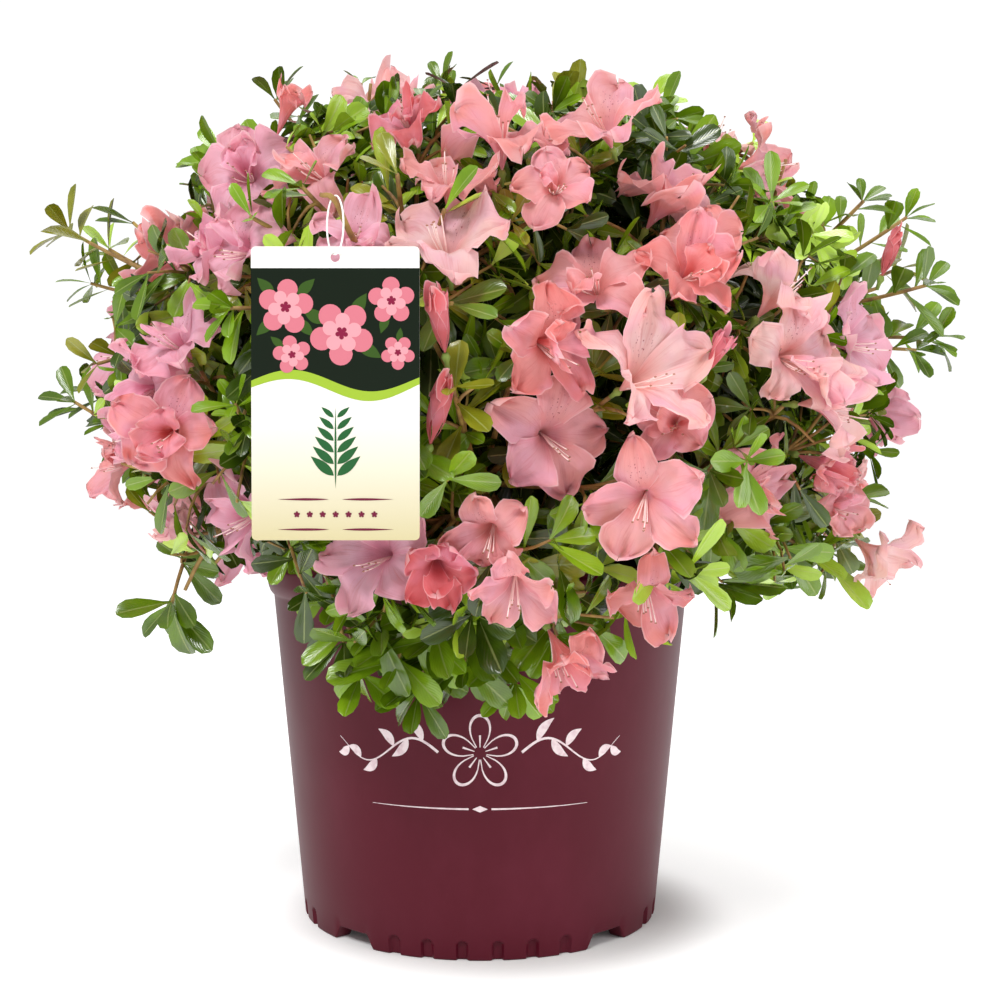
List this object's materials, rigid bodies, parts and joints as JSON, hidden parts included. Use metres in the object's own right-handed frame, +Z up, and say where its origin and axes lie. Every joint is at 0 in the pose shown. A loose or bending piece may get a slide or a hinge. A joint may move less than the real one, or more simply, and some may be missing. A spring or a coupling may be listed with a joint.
{
  "type": "azalea shrub in a nursery pot",
  "caption": "Round evergreen azalea in full bloom, full from all sides, in a moulded nursery pot that stands by itself, with a plant card on a loop.",
  "frame": {"origin": "the middle of the whole plant's footprint, on the ground that the pot stands on", "axes": "+Z up; -Y is the side that the plant card hangs on, and +X is to the right of it"},
  "size_m": [0.592, 0.5612, 0.5581],
  "materials": {
    "pot": "satin",
    "soil": "matte",
    "bark": "matte",
    "foliage": "satin",
    "card": "satin",
    "loop": "matte"
  },
  "bodies": {
    "root": {"pot": "pot", "soil": "soil", "stem": "bark", "lower_bough_1": "bark", "lower_bough_2": "bark", "lower_bough_3": "bark", "lower_bough_4": "bark", "lower_bough_5": "bark", "lower_bough_6": "bark", "lower_bough_7": "bark", "lower_bough_8": "bark", "middle_bough_1": "bark", "middle_bough_2": "bark", "middle_bough_3": "bark", "middle_bough_4": "bark", "middle_bough_5": "bark", "middle_bough_6": "bark", "middle_bough_7": "bark", "upper_bough_1": "bark", "upper_bough_2": "bark", "upper_bough_3": "bark", "upper_bough_4": "bark", "upper_bough_5": "bark", "top_bough_1": "bark", "lower_mass_1": "foliage", "lower_mass_2": "foliage", "lower_mass_3": "foliage", "lower_mass_4": "foliage", "lower_mass_5": "foliage", "lower_mass_6": "foliage", "lower_mass_7": "foliage", "lower_mass_8": "foliage", "middle_mass_1": "foliage", "middle_mass_2": "foliage", "middle_mass_3": "foliage", "middle_mass_4": "foliage", "middle_mass_5": "foliage", "middle_mass_6": "foliage", "middle_mass_7": "foliage", "upper_mass_1": "foliage", "upper_mass_2": "foliage", "upper_mass_3": "foliage", "upper_mass_4": "foliage", "upper_mass_5": "foliage", "top_mass_1": "foliage", "tag": "card", "tag_loop": "loop"}
  },
  "joints": []
}
